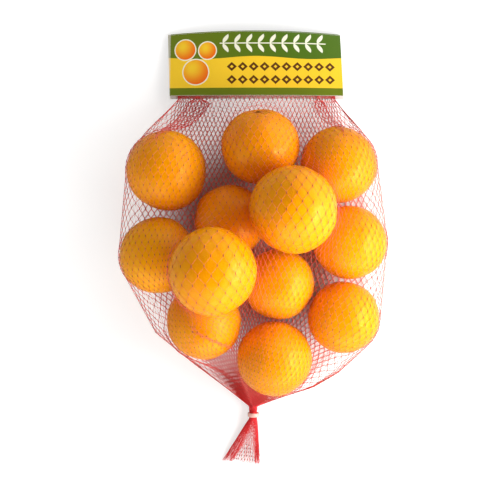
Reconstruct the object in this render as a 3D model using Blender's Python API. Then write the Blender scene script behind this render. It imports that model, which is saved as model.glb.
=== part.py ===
"""Net bag of twelve oranges, lying on its back.

A knitted tube of net holds ten fruits on the floor and two more on top of them. A folded
paper header closes the top end (+Y) and a crimped strip gathers the other end (-Y) into a
neck, past which the net fans out as a short tail. Metres, +Z up, origin on the floor under
the middle of the bag.
"""

import math

import bpy
import numpy as np

# Fruits: centre x, centre y, diameter. The first ten lie on the floor.
FLOOR_FRUITS = [
    (-0.0750, 0.0670, 0.070),
    (0.0060, 0.0880, 0.069),
    (0.0740, 0.0720, 0.067),
    (-0.0200, 0.0240, 0.063),
    (-0.0830, -0.0060, 0.067),
    (0.0840, 0.0050, 0.065),
    (0.0225, -0.0315, 0.062),
    (0.0785, -0.0605, 0.063),
    (-0.0430, -0.0645, 0.066),
    (0.0185, -0.0960, 0.066),
]
TOP_FRUITS = [
    (0.0330, 0.0315, 0.073),
    (-0.0330, -0.0190, 0.073),
]
FRUIT_GAP = 0.0004
NET_THICKNESS = 0.0006

# Where the net stands slack outside the fruits, seen from above
SLACK_POINTS = [(-0.0850, -0.0735), (-0.0520, -0.1025), (0.0745, -0.1095), (0.0535, -0.1235)]

# Overall length, header and neck
BAG_LENGTH = 0.393
HEADER_WIDTH = 0.156
HEADER_X = 0.0030
HEADER_LEAN = -0.0022
HEADER_HEIGHT = 0.060
HEADER_BACK_EXTRA = 0.0024
PAPER_THICKNESS = 0.0005
LEAF_GAP = 0.0022
HEADER_TOP_Y = BAG_LENGTH / 2
MOUTH_Y = HEADER_TOP_Y - HEADER_HEIGHT
MOUTH_LIFT = 0.0095
MOUTH_ARCH = 0.0025
FOLD_ARCH = 0.0075
FOLD_BOW = 0.0020
TUCK_DEPTH = 0.018
MOUTH_CLEARANCE = HEADER_BACK_EXTRA + 0.0008
NET_MOUTH_HALF_WIDTH = 0.0705
NET_FLAT_HALF_HEIGHT = 0.00055

NECK_Y = -0.1430
CLIP_Y = -0.1505
NECK_RADIUS = 0.0034
CLIP_WIDTH = 0.0034
CLIP_THICKNESS = 0.0007
CLIP_CLEARANCE = 0.0004
CLIP_TURNS = 1.16
CLIP_PITCH = 0.0011
CLIP_START = 60

TAIL_TIP_X = -0.0114
TAIL_HALF_WIDTH = 0.0160
TAIL_HALF_HEIGHT = 0.0012
TAIL_PLEAT_HEIGHT = 0.0009
TAIL_PLEATS = 5
TAIL_SKEW = 0.0030
TAIL_RAGGED = 0.0016

# Mesh of the net's skin
AROUND = 76
BODY_ROWS = 62
TUCK_ROWS = 3
TAIL_ROWS = 9

# How the net settles: its pull along the bag and round it, its own weight, and the easing of
# the sharp creases that its weight leaves
PULL_ALONG = 0.36
PULL_ROUND = 0.12
NET_WEIGHT = 0.0030
TIGHTEN_STEPS = 2500
HANG_STEPS = 1500
EASE_STEPS = 6
EASE_MARGIN = 1
RIM_HEIGHT = 0.033
MOUTH_RISE = 0.14
NECK_RISE = 0.34
SIDE_ROUNDING = 0.42
SIDE_STEPS = 2
SIDE_TURN = 25
DOME_HEIGHT = 0.120
LEAST_FILL = 0.3
FLAT_ZONE = 0.0012


def settle_fruits():
    """Every fruit as (x, y, z, radius): floor fruits on the net's floor skin, top ones on them."""
    placed = [(x, y, d / 2 + NET_THICKNESS, d / 2) for x, y, d in FLOOR_FRUITS]
    for x, y, d in TOP_FRUITS:
        heights = []
        for fx, fy, fz, fr in placed[: len(FLOOR_FRUITS)]:
            reach = d / 2 + fr + FRUIT_GAP
            apart = math.hypot(x - fx, y - fy)
            if apart < reach:
                heights.append(fz + math.sqrt(reach**2 - apart**2))
        placed.append((x, y, max(heights), d / 2))
    return placed


def header_middle(across, up):
    """The header's middle surface: across from -1 to 1, up from 0 at its lower edge to 1 at the fold."""
    lift = MOUTH_LIFT * (1 - up) + (LEAF_GAP / 2 + PAPER_THICKNESS) * up
    arch = (MOUTH_ARCH * (1 - up) + FOLD_ARCH * up) * (1 - across**2)
    bow = FOLD_BOW * up * across**2
    y = MOUTH_Y + HEADER_HEIGHT * up - bow
    return HEADER_X + HEADER_LEAN * up + across * HEADER_WIDTH / 2, y, lift + arch


def round_angles():
    """The angles round the tube, from its right side over the top."""
    return np.arange(AROUND) * 2 * math.pi / AROUND


def flat_loop(depth):
    """The net's edge pressed flat between the header's leaves, depth metres inside them."""
    angles = round_angles()
    across = np.cos(angles) * NET_MOUTH_HALF_WIDTH / (HEADER_WIDTH / 2)
    loop = np.array([header_middle(share, depth / HEADER_HEIGHT) for share in across])
    loop[:, 2] += np.sign(np.sin(angles)) * np.abs(np.sin(angles)) ** 0.5 * NET_FLAT_HALF_HEIGHT
    return loop


def neck_height():
    """The neck's centre above the floor, which keeps the clip's underside just off the floor."""
    turns_to_bottom = (270 - CLIP_START) / 360
    return NECK_RADIUS + 1.2 * CLIP_CLEARANCE + CLIP_THICKNESS + CLIP_PITCH * turns_to_bottom


def neck_loop(y):
    """The net gathered round at the neck."""
    angles = round_angles()
    x = NECK_RADIUS * np.cos(angles)
    z = neck_height() + NECK_RADIUS * np.sin(angles)
    return np.stack([x, np.full(AROUND, y), z], axis=1)


def side_climb():
    """How far the net's sides have risen at each row: 0 at mouth and neck, 1 between them."""
    share = np.linspace(0, 1, BODY_ROWS)
    climb = np.clip(np.minimum(share / MOUTH_RISE, (1 - share) / NECK_RISE), 0, 1)
    return climb**2 * (3 - 2 * climb)


def outline(fruits, side):
    """The net's outermost line on one side, 1 right or -1 left, from mouth to neck.

    Seen from above it is stretched straight from fruit to fruit.
    """
    ring = np.linspace(0, 2 * math.pi, 120, endpoint=False)
    mouth, neck = flat_loop(-MOUTH_CLEARANCE), neck_loop(NECK_Y)
    column = 0 if side > 0 else AROUND // 2
    points = [mouth[column, :2], neck[column, :2], *SLACK_POINTS]
    for x, y, z, radius in fruits:
        reach = radius + NET_THICKNESS
        points += zip(x + reach * np.cos(ring), y + reach * np.sin(ring))
    chain = []
    for point in sorted(points, key=lambda p: -p[1]):
        while len(chain) > 1:
            before, corner = chain[-2:]
            bend = (corner[0] - before[0]) * (point[1] - corner[1])
            bend -= (corner[1] - before[1]) * (point[0] - corner[0])
            if bend * side < 0:
                break
            chain.pop()
        chain.append(point)
    chain = np.array(chain)
    run = np.concatenate([[0], np.cumsum(np.hypot(*np.diff(chain, axis=0).T))])
    even = np.linspace(0, run[-1], BODY_ROWS)
    ends = np.linspace(mouth[column, 2], neck[column, 2], BODY_ROWS)
    height = ends + (RIM_HEIGHT - ends) * side_climb()
    return np.stack([np.interp(even, run, chain[:, 0]), np.interp(even, run, chain[:, 1]), height], axis=1)


def side_columns(extra=0):
    """The columns of the net rounded over its right and left side lines, and extra ones beside them."""
    reach = SIDE_STEPS + extra
    return [(first + step) % AROUND for first in (0, AROUND // 2) for step in range(-reach, reach + 1)]


def side_strips(right, left):
    """The points that the side columns keep to."""
    strips = []
    turn_per_column = 360 / AROUND + (SIDE_TURN - 360 / AROUND) * side_climb()
    for line, side in ((right, 1), (left, -1)):
        for step in range(-SIDE_STEPS, SIDE_STEPS + 1):
            turn = np.radians(turn_per_column * step) + math.pi * (side < 0)
            strip = line.copy()
            strip[:, 0] += SIDE_ROUNDING * line[:, 2] * (np.cos(turn) - side)
            strip[:, 2] += SIDE_ROUNDING * line[:, 2] * np.sin(turn)
            strips.append(strip)
    return np.stack(strips, axis=1)


def slack_net(right, left):
    """The net blown up over the fruits between its two side lines, before it is pulled tight."""
    angles = round_angles()
    middle, half = (right + left) / 2, (right - left) / 2
    skin = middle[:, None] + half[:, None] * np.cos(angles)[None, :, None]
    rim = middle[:, None, 2]
    top = DOME_HEIGHT * rim / RIM_HEIGHT - rim
    skin[:, :, 2] = rim + np.where(np.sin(angles) > 0, top, rim) * np.sin(angles)
    skin[0], skin[-1] = flat_loop(-MOUTH_CLEARANCE), neck_loop(NECK_Y)
    return skin


def pull_tight(skin, columns, strips, fruits, steps):
    """Shrinks the net on to the fruits and the floor while its sides keep their lines."""
    for _ in range(steps):
        held = skin[1:-1]
        along = skin[:-2] + skin[2:] - 2 * held
        turn = np.roll(held, 1, axis=1) + np.roll(held, -1, axis=1) - 2 * held
        moved = held + PULL_ALONG * along + PULL_ROUND * turn
        moved[:, columns] = strips[1:-1]
        for x, y, z, radius in fruits:
            offset = moved - np.array([x, y, z])
            away = np.maximum(np.linalg.norm(offset, axis=2, keepdims=True), 1e-9)
            moved += offset * np.maximum((radius + NET_THICKNESS) / away - 1, 0)
        moved[:, :, 2] = np.maximum(moved[:, :, 2], 0)
        skin[1:-1] = moved


def hang(skin, columns, fruits):
    """Lets the net sink under its own weight, on to the fruits above and the floor below them."""
    height = skin[:, :, 2]
    upper = np.arange(AROUND) <= AROUND // 2
    lowest = np.where(upper, LEAST_FILL * height[:, :1], 0)
    highest = np.full(height.shape, np.inf)
    weight = NET_WEIGHT * side_climb()[1:-1, None]
    for x, y, z, radius in fruits:
        room = (radius + NET_THICKNESS) ** 2 - (skin[:, :, 0] - x) ** 2 - (skin[:, :, 1] - y) ** 2
        half = np.sqrt(np.maximum(room, 0))
        over, under = upper & (room > 0) & (height > z), ~upper & (room > 0) & (height < z)
        lowest = np.where(over, np.maximum(lowest, z + half), lowest)
        highest = np.where(under, np.minimum(highest, z - half), highest)
    for _ in range(HANG_STEPS):
        held = height[1:-1]
        along = height[:-2] + height[2:] - 2 * held
        turn = np.roll(held, 1, axis=1) + np.roll(held, -1, axis=1) - 2 * held
        moved = held + PULL_ALONG * along + PULL_ROUND * turn - weight
        moved[:, columns] = held[:, columns]
        height[1:-1] = np.clip(moved, lowest[1:-1], highest[1:-1])


def body_loops(fruits):
    """The net between header and neck, on the fruits and flat on the floor under them."""
    right, left = outline(fruits, 1), outline(fruits, -1)
    skin = slack_net(right, left)
    columns = side_columns()
    pull_tight(skin, columns, side_strips(right, left), fruits, TIGHTEN_STEPS)
    hang(skin, columns, fruits)
    beside = side_columns(EASE_MARGIN)
    pull_tight(skin, beside, skin[:, beside], fruits, EASE_STEPS)
    lower = skin[1:-1, AROUND // 2 + 1 :, 2]
    lower[:] = np.maximum(lower - FLAT_ZONE * np.maximum(1 - lower / RIM_HEIGHT, 0), 0)
    return list(skin)


def tail_loop(share):
    """The net past the clip: share runs from 0 at the clip to 1 at the ragged end."""
    angles = round_angles()
    half_width = NECK_RADIUS + (TAIL_HALF_WIDTH - NECK_RADIUS) * share**0.85
    half_height = NECK_RADIUS + (TAIL_HALF_HEIGHT - NECK_RADIUS) * share**0.6
    across = np.cos(angles)
    start_y = CLIP_Y - CLIP_WIDTH
    length = start_y + BAG_LENGTH / 2
    ragged = TAIL_SKEW * (1 - across) / 2 + TAIL_RAGGED * (1 - np.cos(6 * math.pi * across)) / 2
    x = TAIL_TIP_X * share + half_width * across
    y = start_y - (length - ragged * share) * share
    z = half_height * np.sin(angles) + TAIL_PLEAT_HEIGHT * share * np.cos(TAIL_PLEATS * math.pi * across)
    z += neck_height() * (1 - share) + (half_height + TAIL_PLEAT_HEIGHT) * share
    return np.stack([x, y, np.maximum(z, 0)], axis=1)


def mesh_object(name, verts, faces, colour, roughness, metallic=0.0):
    """A named mesh object with its own Principled material."""
    mesh = bpy.data.meshes.new(name)
    mesh.from_pydata([tuple(v) for v in verts], [], faces)
    mesh.update()
    item = bpy.data.objects.new(name, mesh)
    bpy.context.scene.collection.objects.link(item)
    material = bpy.data.materials.new(name)
    material.use_nodes = True
    shader = material.node_tree.nodes["Principled BSDF"]
    shader.inputs["Base Color"].default_value = (*colour, 1)
    shader.inputs["Roughness"].default_value = roughness
    shader.inputs["Metallic"].default_value = metallic
    mesh.materials.append(material)
    return item


def loft(loops):
    """Points and faces of a closed skin through loops of equal length, with both ends filled."""
    count = len(loops[0])
    verts = np.concatenate(loops)
    faces = []
    for row in range(len(loops) - 1):
        for i in range(count):
            a, b = row * count + i, row * count + (i + 1) % count
            faces.append((a, b, b + count, a + count))
    faces.append(tuple(reversed(range(count))))
    faces.append(tuple(range(len(verts) - count, len(verts))))
    return verts, faces


def build_net(fruits):
    """The filled net as one solid: tucked edge, body over the fruits, neck and tail."""
    depths = np.linspace(TUCK_DEPTH, -MOUTH_CLEARANCE, TUCK_ROWS, endpoint=False)
    tucked = [flat_loop(depth) for depth in depths]
    neck = [neck_loop(CLIP_Y + CLIP_WIDTH), neck_loop(CLIP_Y), neck_loop(CLIP_Y - CLIP_WIDTH)]
    tail = [tail_loop(row / TAIL_ROWS) for row in range(1, TAIL_ROWS + 1)]
    loops = tucked + body_loops(fruits) + neck + tail
    verts, faces = loft(loops)
    net = mesh_object("net_bag", verts, faces, (0.93, 0.42, 0.05), 0.5)
    net.data.shade_smooth()
    return net


def build_header():
    """The folded paper header: a back leaf, a round fold and a shorter front leaf."""
    columns, leaf_rows, fold_rows = 24, 4, 6
    half_gap = LEAF_GAP / 2 + PAPER_THICKNESS / 2
    fold_up = 1 - half_gap / HEADER_HEIGHT
    back_start = -HEADER_BACK_EXTRA / HEADER_HEIGHT
    profile = [(back_start + (fold_up - back_start) * i / leaf_rows, -half_gap) for i in range(leaf_rows)]
    for i in range(fold_rows + 1):
        turn = math.pi * (i / fold_rows - 0.5)
        profile.append((fold_up + half_gap * math.cos(turn) / HEADER_HEIGHT, half_gap * math.sin(turn)))
    profile += [(fold_up * (1 - i / leaf_rows), half_gap) for i in range(1, leaf_rows + 1)]
    verts, faces = [], []
    for column in range(columns + 1):
        for up, side in profile:
            x, y, z = header_middle(2 * column / columns - 1, up)
            verts.append((x, y, z + side))
    for column in range(columns):
        for i in range(len(profile) - 1):
            a = column * len(profile) + i
            faces.append((a, a + 1, a + 1 + len(profile), a + len(profile)))
    header = mesh_object("header_card", verts, faces, (0.95, 0.78, 0.10), 0.45)
    sheet = header.modifiers.new("paper", "SOLIDIFY")
    sheet.thickness = PAPER_THICKNESS
    sheet.offset = 0
    return header


def build_clip():
    """The strip crimped round the neck, wound a little over one turn so that its ends lap."""
    steps = 40
    loops = []
    for i in range(steps + 1):
        angle = 2 * math.pi * CLIP_TURNS * i / steps + math.radians(CLIP_START)
        inner = NECK_RADIUS + CLIP_CLEARANCE + CLIP_PITCH * CLIP_TURNS * i / steps
        outer = inner + CLIP_THICKNESS
        half = CLIP_WIDTH / 2
        corners = [(inner, -half), (outer, -half), (outer, half), (inner, half)]
        points = [(r * math.cos(angle), CLIP_Y + y, neck_height() + r * math.sin(angle)) for r, y in corners]
        loops.append(np.array(points))
    verts, faces = loft(loops)
    return mesh_object("neck_clip", verts, faces, (0.90, 0.84, 0.80), 0.35)


def main():
    for item in list(bpy.data.objects):
        bpy.data.objects.remove(item)
    build_net(settle_fruits())
    build_header()
    build_clip()


main()
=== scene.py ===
"""A knitted net of oranges with a folded paper header and a clipped tail, on a pale floor."""

import math

import bmesh
import bpy
import numpy as np
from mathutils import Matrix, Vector


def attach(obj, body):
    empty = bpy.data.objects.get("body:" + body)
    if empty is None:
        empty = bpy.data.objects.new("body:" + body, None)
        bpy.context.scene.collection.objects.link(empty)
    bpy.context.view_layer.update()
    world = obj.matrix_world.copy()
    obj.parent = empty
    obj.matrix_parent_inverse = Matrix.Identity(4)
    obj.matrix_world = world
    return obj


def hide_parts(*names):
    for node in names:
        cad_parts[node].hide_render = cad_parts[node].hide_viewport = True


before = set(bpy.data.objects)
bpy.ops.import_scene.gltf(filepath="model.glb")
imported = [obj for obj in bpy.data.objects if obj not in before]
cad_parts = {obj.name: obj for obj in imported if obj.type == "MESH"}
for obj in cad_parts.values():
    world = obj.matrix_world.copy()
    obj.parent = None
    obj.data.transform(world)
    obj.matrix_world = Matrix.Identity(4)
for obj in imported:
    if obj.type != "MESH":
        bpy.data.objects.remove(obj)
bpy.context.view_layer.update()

bl_info = {
    "name": "Net of Oranges",
    "version": (1, 0, 0),
    "blender": (4, 5, 0),
    "location": "3D View > Sidebar > Net of Oranges",
    "description": "Builds a net bag of oranges with its header, clip, tail and studio",
    "category": "Add Mesh",
}

BODY = "root"

# Fruits: name, centre x and y, diameter, where the stem points, how flat and how ripe it is
FLOOR_FRUITS = [
    ("top_left", -0.0750, 0.0670, 0.070, (-0.5, -0.3, -0.8), 0.030, 0.40),
    ("top_middle", 0.0060, 0.0880, 0.069, (-0.06, 0.94, 0.34), 0.045, 0.70),
    ("top_right", 0.0740, 0.0720, 0.067, (0.4, 0.6, -0.7), 0.020, 0.50),
    ("middle_left", -0.0200, 0.0240, 0.063, (0.3, 0.5, -0.8), 0.035, 0.85),
    ("left", -0.0830, -0.0060, 0.067, (-0.8, 0.1, -0.6), 0.015, 0.02),
    ("right", 0.0840, 0.0050, 0.065, (0.6, 0.5, -0.6), 0.030, 0.30),
    ("middle_right", 0.0225, -0.0315, 0.062, (0.2, -0.5, -0.8), 0.010, 0.12),
    ("low_right", 0.0785, -0.0605, 0.063, (0.7, -0.5, -0.5), 0.020, 0.32),
    ("low_left", -0.0430, -0.0645, 0.066, (-0.6, -0.6, -0.5), 0.040, 0.36),
    ("bottom", 0.0185, -0.0960, 0.066, (0.1, -0.8, -0.6), 0.025, 0.24),
]
TOP_FRUITS = [
    ("front_right", 0.0330, 0.0315, 0.073, (0.5, 0.6, -0.6), 0.020, 0.34),
    ("front_left", -0.0330, -0.0190, 0.073, (-0.7, 0.4, -0.6), 0.030, 0.30),
]
FRUIT_GAP = 0.0004
NET_THICKNESS = 0.0006

# Where the net stands slack outside the fruits, seen from above
SLACK_POINTS = [(-0.0850, -0.0735), (-0.0520, -0.1025), (0.0745, -0.1095), (0.0535, -0.1235)]

# Header, neck, clip and tail, as in the solids
BAG_LENGTH = 0.393
HEADER_WIDTH = 0.156
HEADER_X = 0.0030
HEADER_LEAN = -0.0022
HEADER_HEIGHT = 0.060
HEADER_BACK_EXTRA = 0.0024
PAPER_THICKNESS = 0.0005
LEAF_GAP = 0.0022
HEADER_TOP_Y = BAG_LENGTH / 2
MOUTH_Y = HEADER_TOP_Y - HEADER_HEIGHT
MOUTH_LIFT = 0.0095
MOUTH_ARCH = 0.0025
FOLD_ARCH = 0.0075
FOLD_BOW = 0.0020
TUCK_DEPTH = 0.012
MOUTH_CLEARANCE = HEADER_BACK_EXTRA + 0.0008
NET_MOUTH_HALF_WIDTH = 0.0705
NET_FLAT_HALF_HEIGHT = 0.00045

NECK_Y = -0.1430
CLIP_Y = -0.1505
NECK_RADIUS = 0.0034
CLIP_WIDTH = 0.0034
CLIP_THICKNESS = 0.0007
CLIP_CLEARANCE = 0.0004
CLIP_TURNS = 1.16
CLIP_PITCH = 0.0011
CLIP_START = 60

TAIL_TIP_X = -0.0114
TAIL_HALF_WIDTH = 0.0160
TAIL_HALF_HEIGHT = 0.0012
TAIL_SKEW = 0.0030

# The tail's two bunches, and how unevenly its threads end
PARTING_AT = 0.18
PARTING_WIDTH = 0.40
PARTING_PUSH = 2.3
THREAD_END_SPREAD = 0.22
THREAD_END_CURL = 0.0016

# Cells of the net, and the share of a cell over which two threads run side by side at a knot
CELLS_ROUND = 104
BODY_ROWS = 70
TUCK_ROWS = 3
NECK_ROWS = 3
TAIL_ROWS = 12
JOINT_SHARE = 0.16
JOINT_GAP = 0.035

# Knots: half their length in cells, where a bead is thickest, the least room between two, and
# how much thicker they are underneath
KNOT_LENGTH = 0.17
KNOT_SHOULDER = 0.45
KNOT_ROOM = 0.0015
UNDERSIDE_KNOTS = 1.6

# The net lies doubled underneath, with thicker threads and, as painted light against the shade under the
# bag, a paler colour: the height over which that falls off, and its share above
DOUBLED_HEIGHT = 0.016
DOUBLED_AT_SIDES = 0.40

# Folds in the net's upper side: start, end, and the cells each takes in there
FOLDS = [
    ((-0.0490, 0.1290), (-0.0790, 0.1020), 7.4, 2.4),
    ((0.0600, 0.1290), (0.0740, 0.1030), 3.8, 1.6),
    ((-0.0690, -0.0850), (-0.0080, -0.1320), 2.4, 2.8),
    ((-0.0500, -0.0690), (-0.0170, -0.0860), 1.3, 1.3),
]

# How sharply a fold doubles the net back, the share of its length over which it fades past its
# ends, how far it lifts its threads and how much it thickens them, the cells that it has to take
# in to lift them fully, and the spacing of threads that are spread open
FOLD_TURN = 2.6
FOLD_FADE = 0.3
FOLD_LIFT = 0.0004
FOLD_SWELL = 1.1
FULL_FOLD = 4.0
OPEN_SPACING = 0.0030

# Print on the card, measured from its middle and from the front leaf's lower edge
PRINT_SOFTNESS = 0.00012
FIELD_EDGE = 0.0345
HILL_HEIGHT = 0.0012
HILL_PITCH = 0.095
FOOT_STRIP = 0.0070
GARLAND_UP = 0.0475
GARLAND_PITCH = 0.0106
GARLAND_LEAVES = 9
GARLAND_START = -0.0330
GARLAND_STEM = 0.0005
LEAF_LENGTH = 0.0042
LEAF_WIDTH = 0.0021
LEAF_LEAN = 0.55
LOZENGE_ROWS = (0.0262, 0.0144)
LOZENGE_PITCH = 0.0098
LOZENGE_HEIGHT = 0.0045
LOZENGES = 10
LOZENGE_START = -0.0270
LOZENGE_OPENING = 0.17
LOZENGE_REACH = 0.46
PRINTED_ROUNDS = [(-0.0545, 0.0215, 0.0112), (-0.0640, 0.0420, 0.0090), (-0.0440, 0.0410, 0.0076)]
ROUND_RIM = 0.0010
RUBBED_REACH = 0.0012
RUBBED_BARE = 0.0004
RUBBED_SHARE = 0.5
RUBBED_UNEVENLY = 0.0009

# Mesh of a fruit, with the reach of its dimples as shares of its radius, and of card and clip
FRUIT_SEGMENTS = 176
FRUIT_RINGS = 88
PEEL_SWELL = 1.009
BUTTON_RADIUS = 0.0026
BUTTON_RIM = 0.0002
BUTTON_TAPER = 0.75
BLOSSOM_RADIUS = 0.0009
STEM_DIMPLE_REACH = 0.36
BLOSSOM_DIMPLE_REACH = 0.12
HOLLOW_SPACING = 0.028
RELIEF_SPACING = 0.0042
CARD_COLUMNS = 60
CARD_ROWS = 20
CARD_FOLD_STEPS = 8
CARD_SWELL_SPACING = 0.045
CLIP_STEPS = 56
CLIP_EDGE_ROUNDING = 0.3

# Fine marks of the finishes, by how many fit in a metre, and how strong and what colour the
# peel's are
PEEL_MOTTLE = 34.0
MOTTLE_DEPTH = 0.9
PEEL_SPECKLE = 260.0
SPECKLE_DEPTH = 0.22
SPECKLE_COLOUR = (206, 124, 8)
SCAR_COLOUR = (96, 40, 14)
PEEL_SWELLS = 190.0
THREAD_TONES = 420.0
KNOT_TONES = 240.0
PRINT_GRAIN = 900.0
PAPER_SWELLS = 160.0
BOARD_FIBRES = 1400.0
CLIP_STREAKS = 700.0

# Studio: the key light, the bright band round the bag, the table's painted glow, which only the camera
# sees, and the camera
KEY_PLACE = (0.29, -0.05, 0.25)
KEY_TARGET = (0.02, 0, 0.05)
KEY_SIZE = (0.24, 0.14)
BAND_TOP = 0.88
BAND_FULL = 0.42
BAND_TOWARDS = (0.8, -0.6)
# Painted glow on the table, seen only by the camera: its centre, its reach, and where it starts and where
# it is full
PAINTED_GLOW_CENTRE = (0.012, 0.01, 0)
PAINTED_GLOW_REACH = (0.122, 0.120, 1)
PAINTED_GLOW_START = 0.54
PAINTED_GLOW_FULL = 0.98
FLOOR_SIZE = 6.0
CAMERA_PLACE = (-0.00278, -0.00174)
SENSOR_WIDTH = 36.0
LENS = 59.3

# How the net settles: its pull along the bag and round it, its own weight, and the easing of
# the sharp creases that its weight leaves
PULL_ALONG = 0.36
PULL_ROUND = 0.12
NET_WEIGHT = 0.0020
TIGHTEN_STEPS = 3200
HANG_STEPS = 2300
EASE_STEPS = 9
EASE_MARGIN = 1
RIM_HEIGHT = 0.033
MOUTH_RISE = 0.14
NECK_RISE = 0.34
SIDE_ROUNDING = 0.42
SIDE_STEPS = 3
SIDE_TURN = 18
DOME_HEIGHT = 0.120
LEAST_FILL = 0.3


# Selecting and finishing pieces

def select_only(*items):
    """Leaves just these objects selected, the first of them active."""
    bpy.ops.object.select_all(action="DESELECT")
    for item in items:
        item.select_set(True)
    bpy.context.view_layer.objects.active = items[0]


def apply_modifier(item, kind, name, **values):
    """Adds a modifier with these values and applies it."""
    modifier = item.modifiers.new(name, kind)
    for key, value in values.items():
        setattr(modifier, key, value)
    select_only(item)
    bpy.ops.object.modifier_apply(modifier=name)


def edit_points(item, test):
    """Opens the piece in edit mode with just the points selected whose own place passes the test."""
    if bpy.context.mode == "OBJECT":
        select_only(item)
        bpy.ops.object.mode_set(mode="EDIT")
    bpy.ops.mesh.select_mode(type="VERT")
    bpy.ops.mesh.select_all(action="DESELECT")
    shape = bmesh.from_edit_mesh(item.data)
    for vert in shape.verts:
        vert.select = test(vert.co)
    shape.select_flush(True)
    bmesh.update_edit_mesh(item.data)


def place_in_mesh(item):
    """Puts the object at the origin, unturned, with its place in its mesh."""
    select_only(item)
    bpy.ops.object.transform_apply(location=True, rotation=True, scale=True)


def clouds(name, size, depth=1):
    """A soft noise for uneven surfaces, its swells about size metres apart."""
    texture = bpy.data.textures.new(name, "CLOUDS")
    texture.noise_scale = size
    texture.noise_depth = depth
    return texture


def finish_piece(item, node):
    """Fixes the piece to the bag as the stand-in for a solid, and hides that solid."""
    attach(item, BODY)
    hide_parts(node)


# Node helpers

class Nodes:
    """Short calls for building one node tree."""

    def __init__(self, tree):
        self.tree = tree

    def add(self, kind, inputs=None, **values):
        node = self.tree.nodes.new(kind)
        for key, value in values.items():
            setattr(node, key, value)
        for key, value in (inputs or {}).items():
            self.feed(node.inputs[key], value)
        return node

    def feed(self, socket, value):
        """Links a socket to this one or sets its value, a colour without its alpha."""
        if isinstance(value, bpy.types.NodeSocket):
            self.tree.links.new(value, socket)
        elif socket.type == "RGBA":
            socket.default_value = (*value[:3], 1)
        else:
            socket.default_value = value

    def into(self, node, **inputs):
        """Feeds a node's inputs by their names, with underscores for spaces."""
        for key, value in inputs.items():
            self.feed(node.inputs[key.replace("_", " ")], value)

    def math(self, operation, a, b=0.0, c=0.0, clamp=False):
        node = self.add("ShaderNodeMath", {0: a, 1: b, 2: c}, operation=operation, use_clamp=clamp)
        return node.outputs[0]

    def less(self, a, b):
        return self.math("SUBTRACT", a, b)

    def times(self, a, b):
        return self.math("MULTIPLY", a, b)

    def size(self, a):
        return self.math("ABSOLUTE", a)

    def vector(self, operation, a, b=(0, 0, 0)):
        return self.add("ShaderNodeVectorMath", {0: a, 1: b}, operation=operation).outputs

    def mix(self, share, a, b):
        node = self.add("ShaderNodeMix", data_type="RGBA")
        self.into(node, Factor=share, A=a, B=b)
        return node.outputs["Result"]

    def ramp(self, value, start, end):
        node = self.add("ShaderNodeMapRange", {"Value": value, "From Min": start, "From Max": end})
        node.interpolation_type = "SMOOTHSTEP"
        return node.outputs["Result"]

    def noise(self, place, scale, detail=3.0, roughness=0.5):
        values = {"Vector": place, "Scale": scale, "Detail": detail, "Roughness": roughness}
        return self.add("ShaderNodeTexNoise", values).outputs["Fac"]

    def bump(self, height, strength, distance):
        values = {"Height": height, "Strength": strength, "Distance": distance}
        return self.add("ShaderNodeBump", values).outputs["Normal"]

    def attribute(self, name):
        return self.add("ShaderNodeAttribute", attribute_name=name).outputs["Fac"]

    def object_place(self):
        return self.add("ShaderNodeTexCoord").outputs["Object"]


def new_group(name, inputs, outputs):
    """A shader node group, its sockets given as their names and types."""
    tree = bpy.data.node_groups.new(name, "ShaderNodeTree")
    for side, sockets in (("INPUT", inputs), ("OUTPUT", outputs)):
        for label, kind in sockets.items():
            tree.interface.new_socket(label, in_out=side, socket_type="NodeSocket" + kind)
    nodes = Nodes(tree)
    return nodes, nodes.add("NodeGroupInput").outputs, nodes.add("NodeGroupOutput")


def place_group(nodes, tree, **inputs):
    """A group placed in a material with its own inputs."""
    node = nodes.add("ShaderNodeGroup", node_tree=tree)
    nodes.into(node, **inputs)
    return node.outputs


def new_material(name, **inputs):
    """A material, its node helper and its Principled shader with these constants."""
    material = bpy.data.materials.new(name)
    material.use_nodes = True
    nodes = Nodes(material.node_tree)
    shader = material.node_tree.nodes["Principled BSDF"]
    nodes.into(shader, **inputs)
    return material, nodes, shader


def colour(r, g, b):
    """A colour given as it looks on screen, from 0 to 255, as linear values with alpha."""
    linear = []
    for value in (r, g, b):
        share = value / 255
        linear.append(share / 12.92 if share <= 0.04045 else ((share + 0.055) / 1.055) ** 2.4)
    return (*linear, 1.0)


# The net's form

def settle_fruits():
    """Every fruit as (x, y, z, radius): floor fruits on the net's floor skin, top ones on them."""
    placed = [(x, y, d / 2 + NET_THICKNESS, d / 2) for name, x, y, d, *look in FLOOR_FRUITS]
    for name, x, y, d, *look in TOP_FRUITS:
        heights = []
        for fx, fy, fz, fr in placed[: len(FLOOR_FRUITS)]:
            reach = d / 2 + fr + FRUIT_GAP
            apart = math.hypot(x - fx, y - fy)
            if apart < reach:
                heights.append(fz + math.sqrt(reach**2 - apart**2))
        placed.append((x, y, max(heights), d / 2))
    return placed


def header_middle(across, up):
    """The header's middle surface: across from -1 to 1, up from 0 at its lower edge to 1 at the fold."""
    lift = MOUTH_LIFT * (1 - up) + (LEAF_GAP / 2 + PAPER_THICKNESS) * up
    arch = (MOUTH_ARCH * (1 - up) + FOLD_ARCH * up) * (1 - across**2)
    bow = FOLD_BOW * up * across**2
    y = MOUTH_Y + HEADER_HEIGHT * up - bow
    return HEADER_X + HEADER_LEAN * up + across * HEADER_WIDTH / 2, y, lift + arch


def round_angles():
    """The angles round the tube, from its right side over the top."""
    return np.arange(CELLS_ROUND) * 2 * math.pi / CELLS_ROUND


def flat_loop(depth):
    """The net's edge pressed flat between the header's leaves, depth metres inside them."""
    angles = round_angles()
    across = np.cos(angles) * NET_MOUTH_HALF_WIDTH / (HEADER_WIDTH / 2)
    loop = np.array([header_middle(share, depth / HEADER_HEIGHT) for share in across])
    loop[:, 2] += np.sign(np.sin(angles)) * np.abs(np.sin(angles)) ** 0.5 * NET_FLAT_HALF_HEIGHT
    return loop


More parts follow.
